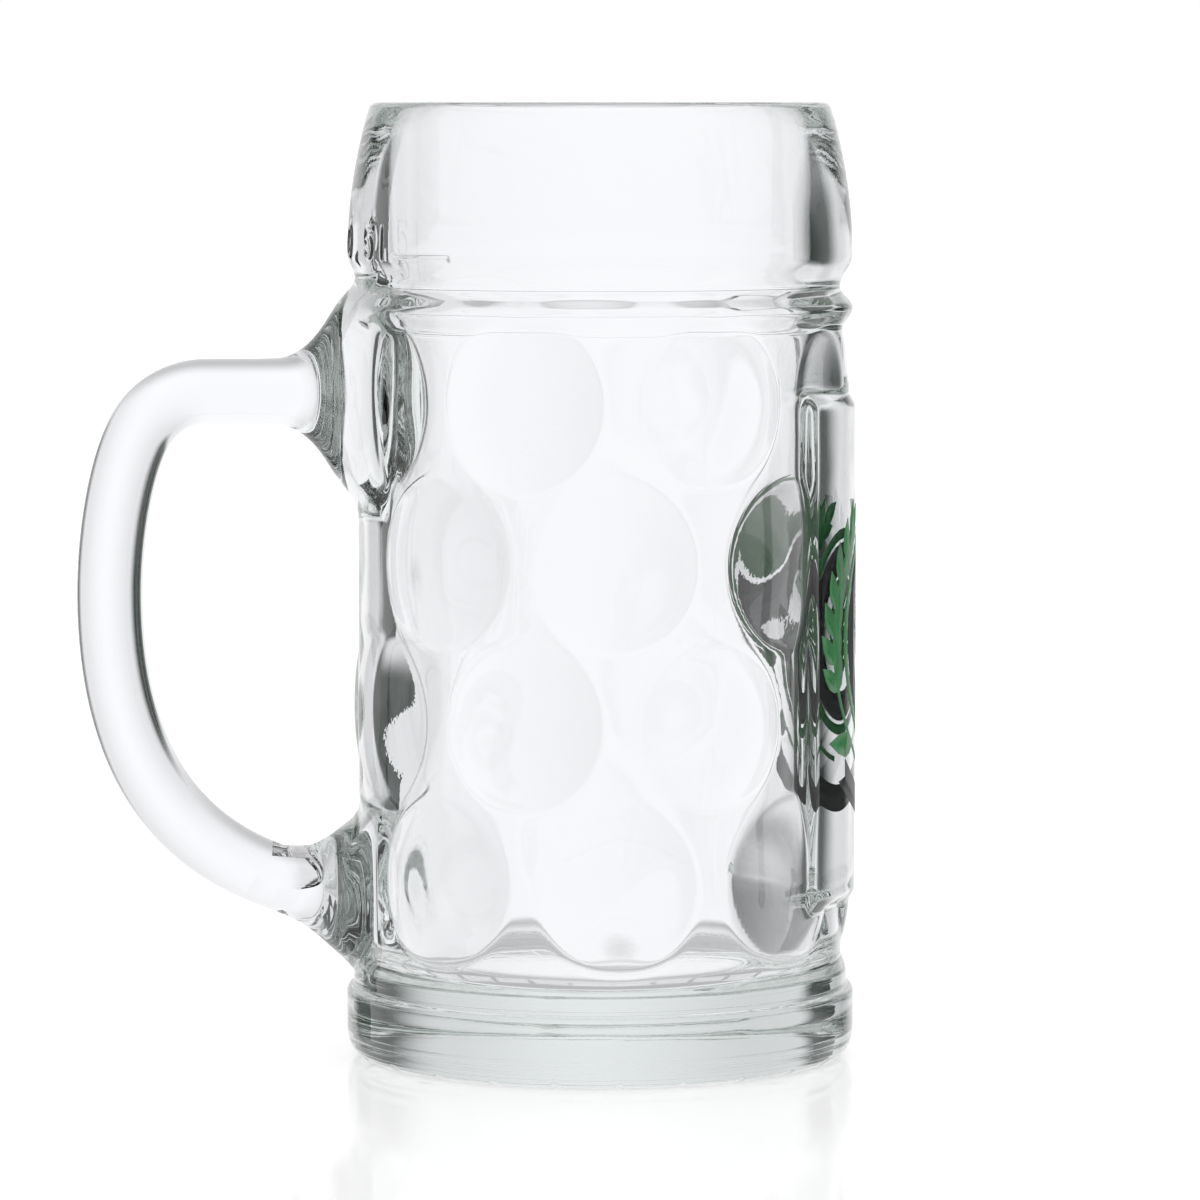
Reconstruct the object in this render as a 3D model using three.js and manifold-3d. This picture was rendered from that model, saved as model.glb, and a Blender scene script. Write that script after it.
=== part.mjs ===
// A half-litre beer mug of clear pressed glass, its wall studded with round lenses, with a handle formed apart
// and sealed on, and a print in fired enamel. Millimetres, +Z up. The mug stands on Z = 0, its handle points
// along -X and its printed panel along +X, and the origin lies under the middle of the whole mug's box.

import * as THREE from 'three';
import { mergeVertices } from 'three/addons/utils/BufferGeometryUtils.js';
import Module from 'manifold-3d';

const wasm = await Module();
wasm.setup();

// Vessel, outside
const HEIGHT = 165;
const BODY_RADIUS = 44.2;
const FOOT_HEIGHT = 12.5;
const FOOT_INSET = 0.2;
const FOOT_EDGE_ROUND = 3.6;
const NECK_INSET = 1.4;
const NECK_HEIGHT = 4;
const NECK_BLEND = 2;
const GROOVE_BELOW_COLLAR = 3.4;
const GROOVE_INSET = 2.8;
const SHOULDER_INSET = 0.5;
const SHOULDER_HEIGHT = 3.6;
const SHOULDER_BLEND = 4;
const COLLAR_HEIGHT = 28.2;
const COLLAR_INSET = 0.6;
const COLLAR_EDGE_ROUND = 2;
const COLLAR_SIDE_RADIUS = 85;
const LIP_ROUND = 1.5;

// Vessel, inside and underside
const FLOOR_HEIGHT = 13;
const FLOOR_WALL = 9.6;
const FLOOR_ROUND = 9;
const BEARING_WIDTH = 8;
const PUNT_DEPTH = 2;
const PUNT_SLOPE_WIDTH = 3;

// Round lenses raised from the wall in staggered rows
const LENS_ROWS = 4;
const LENS_COLUMNS = 8;
const LENS_RADIUS = 15;
const LENS_HEIGHT = 2.3;
const LENSES_ABOVE_FOOT = 5.9;
const LENSES_BELOW_GROOVE = 4;
const LENSES_UNDER_PANEL = 0.1;

// Smooth panel that carries the print
const PANEL_HALF_ANGLE = THREE.MathUtils.degToRad(40);
const PANEL_BELOW_HIGHEST_ROW = 1.4;
const PANEL_BELOW_LOWEST_ROW = 3.9;
const PANEL_EDGE_SLOPE = 0.5;

// Handle: an oval bar that widens into a root at each end
const HANDLE_THICKNESS = 11.3;
const HANDLE_WIDTH = 14;
const FINGER_GAP = 34.8;
const UPPER_ARM_LENGTH = 23.8;
const UPPER_ARM_RISE = 1;
const KNEE_RADIUS = 13;
const KNEE_TURN = THREE.MathUtils.degToRad(65);
const KNEE_EASE = 7.4;
const GRIP_DROP = 35;
const GRIP_EASE_UP = 9.4;
const GRIP_EASE_DOWN = 32.4;
const LOWER_ROOT_ABOVE_FOOT = 15.7;
const LOWER_ARM_EASE = 26.2;
const LOWER_ARM_SLOPE = 0.16;
const UPPER_ROOT_SPREAD = 10;
const LOWER_ROOT_SPREAD = 7;
const ROOT_LENGTH = 12;
const ROOT_CURVE = 3;
const ROOT_SIDE_SHARE = 0.7;
const ROOT_SINK = 8;
const SEAL_GAP = 0.3;

// Enamel print: a ringed hop cone in a barley wreath, over a ribbon
const PRINT_THICKNESS = 0.2;
const PRINT_GAP = 0.1;
const PRINT_ABOVE_PANEL_MIDDLE = 2;
const RING_RADIUS = 18;
const RING_WIDTH = 1.8;
const BAND_WIDTH = 5.2;
const INK_CLEARANCE = 0.6;
const WREATH_OUTSIDE_RING = 4.2;
const WREATH_START = THREE.MathUtils.degToRad(-80);
const WREATH_END = THREE.MathUtils.degToRad(64);
const EAR_GRAINS = 7;
const GRAIN_PITCH = 4.8;
const GRAIN_LENGTH = 7;
const GRAIN_WIDTH = 3.2;
const GRAIN_TURN = THREE.MathUtils.degToRad(28);
const TOP_GRAIN_SEAT = THREE.MathUtils.degToRad(4);
const STALK_WIDTH = 0.9;
const BLADE_LENGTH = 11.5;
const BLADE_WIDTH = 4.4;
const BLADE_AT = THREE.MathUtils.degToRad(-56);
const RIBBON_OUTSIDE_WREATH = 6.8;
const RIBBON_WIDTH = 4.8;
const RIBBON_HALF_ANGLE = THREE.MathUtils.degToRad(40);
const RIBBON_NOTCH = THREE.MathUtils.degToRad(4);
const HOP_INSIDE_BAND = 2.6;
const HOP_WIDTH = 17;
const HOP_SCALE_ROWS = 4;
const HOP_SCALE_START = 4.6;
const HOP_SCALE_PITCH = 3;
const HOP_SCALE_TURN = THREE.MathUtils.degToRad(38);
const HOP_LINE_WIDTH = 0.5;
const HOP_SPINE = 1.1;
const HOP_LEAF_LENGTH = 6;
const HOP_LEAF_WIDTH = 5;
const HOP_LEAF_TURN = THREE.MathUtils.degToRad(72);

// Fineness of the facets
const ROUND_SEGMENTS = 64;
const PRINT_SEGMENTS = 96;
const LENS_SEGMENTS = 16;
const ARC_STEPS = 2;
const BAR_SIDES = 16;
const BAR_STEPS = 44;
const OUTLINE_STEPS = 4;
const RING_STEPS = 20;

// How far a cutting shape reaches past what it cuts, how deep a raised form is rooted in the wall, and how
// near two points are one
const OVERSHOOT = 2;
const RELIEF_ROOT = 1;
const SAME_POINT = 1e-4;

// Heights and radii that follow from the sizes above
const collarBottom = HEIGHT - COLLAR_HEIGHT;
const grooveHeight = collarBottom - GROOVE_BELOW_COLLAR;
const collarRadius = BODY_RADIUS - COLLAR_INSET;
const wallRadius = BODY_RADIUS - LENSES_UNDER_PANEL - LENS_HEIGHT;
const lowestRow = FOOT_HEIGHT + LENSES_ABOVE_FOOT + LENS_RADIUS;
const highestRow = grooveHeight - LENSES_BELOW_GROOVE - LENS_RADIUS;
const rowPitch = (highestRow - lowestRow) / (LENS_ROWS - 1);
const columnPitch = (2 * Math.PI) / LENS_COLUMNS;
const panelTop = highestRow - PANEL_BELOW_HIGHEST_ROW;
const panelBottom = lowestRow - PANEL_BELOW_LOWEST_ROW;
const printMiddle = (panelTop + panelBottom) / 2 + PRINT_ABOVE_PANEL_MIDDLE;
const bandOutside = RING_RADIUS - RING_WIDTH - INK_CLEARANCE;
const bandInside = bandOutside - BAND_WIDTH;
const hopLength = 2 * (bandInside - HOP_INSIDE_BAND);
const wreathRadius = RING_RADIUS + WREATH_OUTSIDE_RING;
const ribbonRadius = wreathRadius + RIBBON_OUTSIDE_WREATH;

const glass = new THREE.MeshStandardMaterial({
  color: 0xdfe6e3,
  roughness: 0.05,
  metalness: 0,
  transparent: true,
  opacity: 0.4,
});
const greenEnamel = new THREE.MeshStandardMaterial({ color: 0x1c6b33, roughness: 0.35, metalness: 0 });
const blackEnamel = new THREE.MeshStandardMaterial({ color: 0x121313, roughness: 0.35, metalness: 0 });

// A closed three.js geometry as a solid that can be joined and cut
function toSolid(geometry) {
  const bare = geometry.clone();
  bare.deleteAttribute('normal');
  bare.deleteAttribute('uv');
  const merged = mergeVertices(bare, SAME_POINT);
  const vertProperties = new Float32Array(merged.attributes.position.array);
  const triVerts = new Uint32Array(merged.index.array);
  return new wasm.Manifold(new wasm.Mesh({ numProp: 3, vertProperties, triVerts }));
}

function toMesh(name, solid, material) {
  const { vertProperties, triVerts } = solid.getMesh();
  const geometry = new THREE.BufferGeometry();
  geometry.setAttribute('position', new THREE.BufferAttribute(vertProperties, 3));
  geometry.setIndex(new THREE.BufferAttribute(triVerts, 1));
  geometry.computeVertexNormals();
  const mesh = new THREE.Mesh(geometry, material);
  mesh.name = name;
  return mesh;
}

function joined(solids) {
  return solids.reduce((whole, solid) => whole.add(solid));
}

// Turns a profile of radius and height about the mug's axis
function revolve(profile, segments = ROUND_SEGMENTS) {
  return new THREE.LatheGeometry(profile.getPoints(ARC_STEPS), segments).rotateX(Math.PI / 2);
}

// Outside of the vessel, from the middle of its underside to the lip, all over larger by grow
function outsideProfile(grow) {
  const body = BODY_RADIUS + grow;
  const foot = body - FOOT_INSET;
  const neck = body - NECK_INSET;
  const wall = wallRadius + grow;
  const shoulder = body - SHOULDER_INSET;
  const groove = body - GROOVE_INSET;
  const collar = collarRadius + grow;
  const bearingInside = foot - FOOT_EDGE_ROUND - BEARING_WIDTH;
  const neckTop = FOOT_HEIGHT + NECK_HEIGHT;
  const shoulderBottom = grooveHeight - SHOULDER_HEIGHT;
  const sideCentre = collar - COLLAR_SIDE_RADIUS;
  const profile = new THREE.Path();
  profile.moveTo(0, PUNT_DEPTH);
  profile.lineTo(bearingInside - PUNT_SLOPE_WIDTH, PUNT_DEPTH);
  profile.lineTo(bearingInside, 0);
  profile.lineTo(foot - FOOT_EDGE_ROUND, 0);
  profile.absarc(foot - FOOT_EDGE_ROUND, FOOT_EDGE_ROUND, FOOT_EDGE_ROUND, -Math.PI / 2, 0, false);
  profile.lineTo(foot, FOOT_HEIGHT - NECK_INSET);
  profile.lineTo(neck, FOOT_HEIGHT);
  profile.lineTo(neck, neckTop);
  profile.lineTo(wall, neckTop + NECK_BLEND);
  profile.lineTo(wall, shoulderBottom - SHOULDER_BLEND);
  profile.lineTo(shoulder, shoulderBottom);
  profile.quadraticCurveTo(shoulder, grooveHeight - SHOULDER_HEIGHT / 2, groove, grooveHeight);
  profile.quadraticCurveTo(groove, collarBottom, collar, collarBottom + COLLAR_EDGE_ROUND);
  profile.absarc(sideCentre, collarBottom + COLLAR_EDGE_ROUND, COLLAR_SIDE_RADIUS, 0, lip().angle, false);
  return profile;
}

// Middle of the rounded lip, and the angle at which the collar's side runs into it
function lip() {
  const rise = COLLAR_HEIGHT - COLLAR_EDGE_ROUND - LIP_ROUND;
  const run = Math.sqrt((COLLAR_SIDE_RADIUS - LIP_ROUND) ** 2 - rise ** 2);
  return {
    radius: collarRadius - COLLAR_SIDE_RADIUS + run,
    height: HEIGHT - LIP_ROUND,
    angle: Math.atan2(rise, run),
  };
}

function vesselBlank() {
  const { radius, height, angle } = lip();
  const floorRadius = BODY_RADIUS - FLOOR_WALL;
  const cornerRadius = floorRadius - FLOOR_ROUND;
  const profile = outsideProfile(0);
  profile.absarc(radius, height, LIP_ROUND, angle, Math.PI, false);
  profile.lineTo(floorRadius, FLOOR_HEIGHT + FLOOR_ROUND);
  profile.absarc(cornerRadius, FLOOR_HEIGHT + FLOOR_ROUND, FLOOR_ROUND, 0, -Math.PI / 2, true);
  profile.lineTo(0, FLOOR_HEIGHT);
  return toSolid(revolve(profile));
}

// One lens, a low cap bent round the wall at +X and at height 0, set further out by grow
function wallLens(grow) {
  const capRadius = (LENS_RADIUS ** 2 + LENS_HEIGHT ** 2) / (2 * LENS_HEIGHT);
  const capCentre = LENS_HEIGHT - capRadius;
  const rim = Math.asin((-RELIEF_ROOT - capCentre) / capRadius);
  const profile = new THREE.Path();
  profile.moveTo(0, -RELIEF_ROOT);
  profile.lineTo(capRadius * Math.cos(rim), -RELIEF_ROOT);
  profile.absarc(0, capCentre, capRadius, rim, Math.PI / 2, false);
  const lens = revolve(profile, LENS_SEGMENTS);
  const point = new THREE.Vector3();
  const positions = lens.attributes.position;
  for (let i = 0; i < positions.count; i += 1) {
    point.fromBufferAttribute(positions, i);
    const angle = point.x / BODY_RADIUS;
    const radius = wallRadius + grow + point.z;
    positions.setXYZ(i, radius * Math.cos(angle), radius * Math.sin(angle), point.y);
  }
  return lens;
}

// All lenses: odd rows straddle the handle and even rows line up with it, where the handle's lower root and
// the space for the fingers leave out two
function wallLenses(grow) {
  const lens = wallLens(grow);
  const lenses = [];
  for (let row = 0; row < LENS_ROWS; row += 1) {
    const stagger = row % 2 === 0 ? 0 : 0.5;
    for (let column = 0; column < LENS_COLUMNS; column += 1) {
      const behindHandle = stagger === 0 && column === 0;
      if (!behindHandle) {
        const angle = Math.PI + (column + stagger) * columnPitch;
        const place = lens.clone().rotateZ(angle).translate(0, 0, lowestRow + row * rowPitch);
        lenses.push(toSolid(place));
      }
    }
  }
  return joined(lenses);
}

// The raised panel under the print, which covers the lenses there, with edges that slope down to the wall
function panel() {
  const inner = wallRadius - RELIEF_ROOT;
  const slopeAt = (radius) => (BODY_RADIUS - radius) * PANEL_EDGE_SLOPE;
  const ring = new THREE.Path();
  ring.moveTo(inner, panelBottom - slopeAt(inner));
  ring.lineTo(BODY_RADIUS, panelBottom);
  ring.lineTo(BODY_RADIUS, panelTop);
  ring.lineTo(inner, panelTop + slopeAt(inner));
  ring.closePath();
  const reach = BODY_RADIUS + OVERSHOOT;
  const corner = (radius, side) => {
    const angle = side * (PANEL_HALF_ANGLE + slopeAt(radius) / BODY_RADIUS);
    return [radius * Math.cos(angle), radius * Math.sin(angle)];
  };
  const wedge = new THREE.Shape();
  wedge.moveTo(0, 0);
  wedge.lineTo(...corner(inner - OVERSHOOT, -1));
  wedge.lineTo(...corner(reach, -1));
  wedge.lineTo(2 * reach, 0);
  wedge.lineTo(...corner(reach, 1));
  wedge.lineTo(...corner(inner - OVERSHOOT, 1));
  wedge.closePath();
  const prism = new THREE.ExtrudeGeometry(wedge, { depth: HEIGHT, bevelEnabled: false });
  return toSolid(revolve(ring)).intersect(toSolid(prism));
}

function mugBody() {
  return vesselBlank().add(wallLenses(0)).add(panel());
}

// Middle line of the handle in the plane of X and Z: level arm, knee, grip and the sweep to the lower root
function handleLine() {
  const upperZ = highestRow + UPPER_ARM_RISE;
  const lowerZ = FOOT_HEIGHT + LOWER_ROOT_ABOVE_FOOT;
  const kneeX = -(BODY_RADIUS + UPPER_ARM_LENGTH);
  const gripX = -(BODY_RADIUS + FINGER_GAP + HANDLE_THICKNESS / 2);
  const gripZ = upperZ - GRIP_DROP;
  const kneeEnd = Math.PI / 2 + KNEE_TURN;
  const kneeEndX = kneeX + KNEE_RADIUS * Math.cos(kneeEnd);
  const kneeEndZ = upperZ - KNEE_RADIUS + KNEE_RADIUS * Math.sin(kneeEnd);
  const line = new THREE.Path();
  line.moveTo(-BODY_RADIUS + ROOT_SINK, upperZ);
  line.lineTo(kneeX, upperZ);
  line.absarc(kneeX, upperZ - KNEE_RADIUS, KNEE_RADIUS, Math.PI / 2, kneeEnd, false);
  line.bezierCurveTo(
    kneeEndX - KNEE_EASE * Math.sin(kneeEnd),
    kneeEndZ + KNEE_EASE * Math.cos(kneeEnd),
    gripX,
    gripZ + GRIP_EASE_UP,
    gripX,
    gripZ,
  );
  line.bezierCurveTo(
    gripX,
    gripZ - GRIP_EASE_DOWN,
    -BODY_RADIUS - LOWER_ARM_EASE,
    lowerZ + LOWER_ARM_EASE * LOWER_ARM_SLOPE,
    -BODY_RADIUS,
    lowerZ,
  );
  line.lineTo(-BODY_RADIUS + ROOT_SINK, lowerZ - ROOT_SINK * LOWER_ARM_SLOPE);
  return line;
}

// Oval bar along the handle's line, flared like a trumpet where it nears the body
function handleBar() {
  const line = handleLine();
  const positions = [];
  const index = [];
  for (let step = 0; step <= BAR_STEPS; step += 1) {
    const along = step / BAR_STEPS;
    const centre = line.getPointAt(along);
    const tangent = line.getTangentAt(along);
    const spread = along < 0.5 ? UPPER_ROOT_SPREAD : LOWER_ROOT_SPREAD;
    const away = THREE.MathUtils.clamp((-centre.x - BODY_RADIUS) / ROOT_LENGTH, 0, 1);
    const flare = spread * (1 - away) ** ROOT_CURVE;
    const halfThick = HANDLE_THICKNESS / 2 + flare;
    const halfWide = HANDLE_WIDTH / 2 + flare * ROOT_SIDE_SHARE;
    for (let side = 0; side < BAR_SIDES; side += 1) {
      const turn = (2 * Math.PI * side) / BAR_SIDES;
      const out = halfThick * Math.cos(turn);
      positions.push(centre.x + tangent.y * out, halfWide * Math.sin(turn), centre.y - tangent.x * out);
    }
  }
  const lastRing = BAR_STEPS * BAR_SIDES;
  const startMiddle = lastRing + BAR_SIDES;
  const endMiddle = startMiddle + 1;
  for (const end of [line.getPointAt(0), line.getPointAt(1)]) {
    positions.push(end.x, 0, end.y);
  }
  for (let side = 0; side < BAR_SIDES; side += 1) {
    const next = (side + 1) % BAR_SIDES;
    for (let near = 0; near < lastRing; near += BAR_SIDES) {
      const far = near + BAR_SIDES;
      index.push(near + side, near + next, far + next, near + side, far + next, far + side);
    }
    index.push(startMiddle, next, side, endMiddle, lastRing + side, lastRing + next);
  }
  const bar = new THREE.BufferGeometry();
  bar.setAttribute('position', new THREE.Float32BufferAttribute(positions, 3));
  bar.setIndex(index);
  return bar;
}

// The bar's roots are cut to the wall and the lenses that they are sealed to
function handle() {
  const profile = outsideProfile(SEAL_GAP);
  profile.lineTo(0, HEIGHT);
  const wall = toSolid(revolve(profile)).add(wallLenses(SEAL_GAP));
  return toSolid(handleBar()).subtract(wall);
}

// A flat outline, drawn as seen from +X about the print's middle, pressed on to the panel
const towardPanel = new THREE.Matrix4().makeBasis(
  new THREE.Vector3(0, 1, 0),
  new THREE.Vector3(0, 0, 1),
  new THREE.Vector3(1, 0, 0),
);

function stamp(outline, across = 0, up = 0, turn = 0, steps = OUTLINE_STEPS) {
  const flat = new THREE.ExtrudeGeometry(outline, {
    depth: 2 * BODY_RADIUS,
    bevelEnabled: false,
    curveSegments: steps,
  });
  flat.rotateZ(turn).translate(across, up, 0).applyMatrix4(towardPanel).translate(0, 0, printMiddle);
  return toSolid(flat);
}

function inkSkin() {
  const inside = BODY_RADIUS + PRINT_GAP;
  const outside = inside + PRINT_THICKNESS;
  const profile = new THREE.Path();
  profile.moveTo(inside, panelBottom);
  profile.lineTo(outside, panelBottom);
  profile.lineTo(outside, panelTop);
  profile.lineTo(inside, panelTop);
  profile.closePath();
  return toSolid(revolve(profile, PRINT_SEGMENTS));
}

function leaf(length, width) {
  const outline = new THREE.Shape();
  outline.quadraticCurveTo(width, length / 3, 0, length);
  outline.quadraticCurveTo(-width, length / 3, 0, 0);
  return outline;
}

function bar(left, bottom, right, top) {
  const outline = new THREE.Shape();
  outline.moveTo(left, bottom);
  outline.lineTo(right, bottom);
  outline.lineTo(right, top);
  outline.lineTo(left, top);
  outline.closePath();
  return outline;
}

// Part of a ring between two angles, with its ends notched inwards like a ribbon's
function arcBand(radius, width, from, to, notch = 0) {
  const outline = new THREE.Shape();
  outline.absarc(0, 0, radius + width / 2, from, to, false);
  outline.lineTo(radius * Math.cos(to - notch), radius * Math.sin(to - notch));
  outline.absarc(0, 0, radius - width / 2, to, from, true);
  outline.lineTo(radius * Math.cos(from + notch), radius * Math.sin(from + notch));
  outline.closePath();
  return outline;
}

function disc(radius) {
  const outline = new THREE.Shape();
  outline.absarc(0, 0, radius, 0, 2 * Math.PI, false);
  return outline;
}

function fullRing(outer, inner) {
  const outline = disc(outer);
  const hole = new THREE.Path();
  hole.absarc(0, 0, inner, 0, 2 * Math.PI, true);
  outline.holes.push(hole);
  return outline;
}

// The ribbon under the wreath, all over larger by grow
function ribbon(grow) {
  const down = -Math.PI / 2;
  const half = RIBBON_HALF_ANGLE + grow / ribbonRadius;
  const outline = arcBand(ribbonRadius, RIBBON_WIDTH + 2 * grow, down - half, down + half, RIBBON_NOTCH);
  return stamp(outline, 0, 0, 0, RING_STEPS);
}

// One barley ear with its stalk and blade, right of the ring for side 1 and left for side -1, which stays
// clear of the other inks
function barley(side) {
  const angleOf = (climb) => (side > 0 ? climb : Math.PI - climb);
  const grow = (outline, climb, turn) => stamp(
    outline,
    wreathRadius * Math.cos(angleOf(climb)),
    wreathRadius * Math.sin(angleOf(climb)),
    side * (climb + turn),
  );
  const ends = [angleOf(WREATH_START), angleOf(WREATH_END)].sort((a, b) => a - b);
  const pieces = [stamp(arcBand(wreathRadius, STALK_WIDTH, ...ends), 0, 0, 0, RING_STEPS)];
  const grain = leaf(GRAIN_LENGTH, GRAIN_WIDTH);
  for (let i = 0; i < EAR_GRAINS; i += 1) {
    const climb = WREATH_END - ((EAR_GRAINS - i) * GRAIN_PITCH) / wreathRadius;
    pieces.push(grow(grain, climb, GRAIN_TURN), grow(grain, climb, -GRAIN_TURN));
  }
  pieces.push(grow(grain, WREATH_END - TOP_GRAIN_SEAT, 0));
  pieces.push(grow(leaf(BLADE_LENGTH, BLADE_WIDTH), BLADE_AT, -GRAIN_TURN));
  const otherSide = bar(-2 * BODY_RADIUS, -HEIGHT, INK_CLEARANCE / 2, HEIGHT);
  return joined(pieces)
    .subtract(stamp(disc(RING_RADIUS + INK_CLEARANCE), 0, 0, 0, RING_STEPS))
    .subtract(ribbon(INK_CLEARANCE))
    .subtract(stamp(otherSide, 0, 0, side > 0 ? 0 : Math.PI));
}

// Hop cone within the band: scale rows are drawn by bare lines on both sides of a spine
function hop() {
  const top = hopLength / 2;
  const pieces = [
    stamp(leaf(hopLength, HOP_WIDTH), 0, top, Math.PI),
    stamp(leaf(HOP_LEAF_LENGTH, HOP_LEAF_WIDTH), 0, top - HOP_SPINE, HOP_LEAF_TURN),
    stamp(leaf(HOP_LEAF_LENGTH, HOP_LEAF_WIDTH), 0, top - HOP_SPINE, -HOP_LEAF_TURN),
  ];
  let cone = joined(pieces);
  for (let row = 0; row < HOP_SCALE_ROWS; row += 1) {
    const up = top - HOP_SCALE_START - row * HOP_SCALE_PITCH;
    const right = bar(HOP_SPINE, 0, HOP_WIDTH, HOP_LINE_WIDTH);
    const left = bar(-HOP_WIDTH, 0, -HOP_SPINE, HOP_LINE_WIDTH);
    cone = cone.subtract(stamp(right, 0, up, HOP_SCALE_TURN));
    cone = cone.subtract(stamp(left, 0, up, -HOP_SCALE_TURN));
  }
  return cone.intersect(stamp(disc(bandInside - INK_CLEARANCE), 0, 0, 0, RING_STEPS));
}

function printPieces() {
  const skin = inkSkin();
  const ring = stamp(fullRing(RING_RADIUS, RING_RADIUS - RING_WIDTH), 0, 0, 0, RING_STEPS);
  const band = stamp(fullRing(bandOutside, bandInside), 0, 0, 0, RING_STEPS);
  return [
    toMesh('print_ring_green', skin.intersect(ring), greenEnamel),
    toMesh('print_band_black', skin.intersect(band), blackEnamel),
    toMesh('print_hop_green', skin.intersect(hop()), greenEnamel),
    toMesh('print_barley_left', skin.intersect(barley(-1)), greenEnamel),
    toMesh('print_barley_right', skin.intersect(barley(1)), greenEnamel),
    toMesh('print_ribbon_black', skin.intersect(ribbon(0)), blackEnamel),
  ];
}

const mug = new THREE.Group();
mug.add(toMesh('mug_body', mugBody(), glass));
mug.add(toMesh('handle', handle(), glass));
mug.add(...printPieces());

const box = new THREE.Box3().setFromObject(mug);
mug.position.x = -(box.min.x + box.max.x) / 2;

export default mug;
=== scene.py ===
import math

import bmesh
import bpy
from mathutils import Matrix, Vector
from mathutils.geometry import interpolate_bezier


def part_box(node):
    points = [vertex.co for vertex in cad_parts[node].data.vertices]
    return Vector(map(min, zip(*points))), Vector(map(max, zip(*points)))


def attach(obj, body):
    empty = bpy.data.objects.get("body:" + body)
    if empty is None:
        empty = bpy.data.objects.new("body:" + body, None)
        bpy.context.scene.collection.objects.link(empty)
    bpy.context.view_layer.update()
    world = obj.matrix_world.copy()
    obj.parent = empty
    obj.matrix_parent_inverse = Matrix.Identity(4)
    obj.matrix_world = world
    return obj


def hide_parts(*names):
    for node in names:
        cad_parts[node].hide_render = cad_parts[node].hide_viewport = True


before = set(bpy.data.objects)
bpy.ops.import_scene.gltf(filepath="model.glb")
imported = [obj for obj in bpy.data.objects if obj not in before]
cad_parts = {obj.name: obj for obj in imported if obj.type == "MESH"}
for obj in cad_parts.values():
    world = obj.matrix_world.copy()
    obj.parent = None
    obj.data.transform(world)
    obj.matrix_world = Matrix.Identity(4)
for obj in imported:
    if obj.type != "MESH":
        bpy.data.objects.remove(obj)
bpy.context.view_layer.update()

# Vessel, outside, in millimetres
MM = 0.001
FOOT_HEIGHT = 12.5
FOOT_INSET = 0.2
FOOT_EDGE_ROUND = 3.6
PARTING_STEP = 0.25
NOTCH_COUNT = 24
NOTCH_DEPTH = 0.4
NOTCH_TOP = 2.0
NECK_INSET = 1.4
NECK_HEIGHT = 4.0
NECK_BLEND = 2.0
WALL_INSET = 2.4
SHOULDER_INSET = 0.5
SHOULDER_HEIGHT = 3.6
SHOULDER_BLEND = 4.0
GROOVE_HEIGHT = 133.4
GROOVE_INSET = 2.8
COLLAR_BOTTOM = 136.8
COLLAR_INSET = 0.6
COLLAR_EDGE_ROUND = 2.0
COLLAR_SIDE_RADIUS = 85.0
LIP_ROUND = 1.5

# Vessel, inside and underside
FLOOR_HEIGHT = 13.0
FLOOR_WALL = 9.6
FLOOR_ROUND = 9.0
BEARING_WIDTH = 8.0
PUNT_DEPTH = 2.0
PUNT_SLOPE_WIDTH = 3.0

# Round lenses raised from the wall in staggered rows: a power of 2 makes a round cap, more a flatter top
LENS_ROWS = 4
LENS_COLUMNS = 8
LENS_RADIUS = 14.5
LENS_HEIGHT = 1.7
LENS_POWER = 3
LENS_EDGE = 0.3
LOWEST_ROW = 33.4
ROW_PITCH = 27.0

# Smooth panel that carries the print
PANEL_HALF_ANGLE = math.radians(38)
PANEL_BOTTOM = 29.5
PANEL_TOP = 113.0
PANEL_STEP = 2.6

# Capacity mark moulded on the collar: figures, then a line round part of the collar
MARK_ANGLE = math.radians(-147.6)
MARK_HEIGHT = 138.7
MARK_RISE = 0.3
MARK_STROKE = 0.7
MARK_EDGE = 0.35
MARK_LINE = 13.2
MARK_MARGIN = 1.6
MARK_CUTS = 3
FIGURE_HEIGHT = 5.0
FIGURE_WIDTH = 3.4
ZERO_MIDDLE = -19.5
COMMA_TOP = (-14.2, 0.3)
COMMA_TAIL = (-14.8, -1.2)
FIVE_RIGHT = -6.9
FIVE_LEFT = -9.8
FIVE_NECK = (-10.0, 0.55 * FIGURE_HEIGHT)
FIVE_MIDDLE = -8.6
FIVE_BOWL = 0.33 * FIGURE_HEIGHT
FIVE_BOWL_TURN = math.radians(140)
LITRE_PLACE = -3.6

# Handle
HANDLE_THICKNESS = 11.3
HANDLE_WIDTH = 14.0
FINGER_GAP = 34.8
UPPER_ARM_HEIGHT = 115.4
UPPER_ARM_LENGTH = 23.8
KNEE_RADIUS = 13.0
KNEE_TURN = math.radians(65)
KNEE_EASE = 7.4
GRIP_DROP = 35.0
GRIP_EASE_UP = 9.4
GRIP_EASE_DOWN = 32.4
LOWER_ARM_HEIGHT = 28.2
LOWER_ARM_EASE = 26.2
LOWER_ARM_SLOPE = 0.16
ROOT_LENGTH = 13.0
ROOT_CURVE = 2.4
ROOT_SIDE_SHARE = 0.55
ROOT_SIDE_CURVE = 3
ROOT_FILLET = 2.0
RIM_FLARE = 0.1
RIM_MARGIN = 3.0
ROOT_FADE_START = 0.65
ROOT_LOOSE_START = 0.35

# Roots of the handle: the bar's height, slope and bend there, whether its outer side faces up or down,
# how far the root spreads along the wall and how many rings of the wall's grid it takes
UPPER_ROOT = {
    "height": UPPER_ARM_HEIGHT,
    "slope": 0.0,
    "bend": 0.0,
    "up": 1,
    "spread": 12.5,
    "rings": 17,
}
LOWER_ROOT = {
    "height": LOWER_ARM_HEIGHT,
    "slope": LOWER_ARM_SLOPE,
    "bend": 0.0072,
    "up": -1,
    "spread": 7.0,
    "rings": 10,
}

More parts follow.
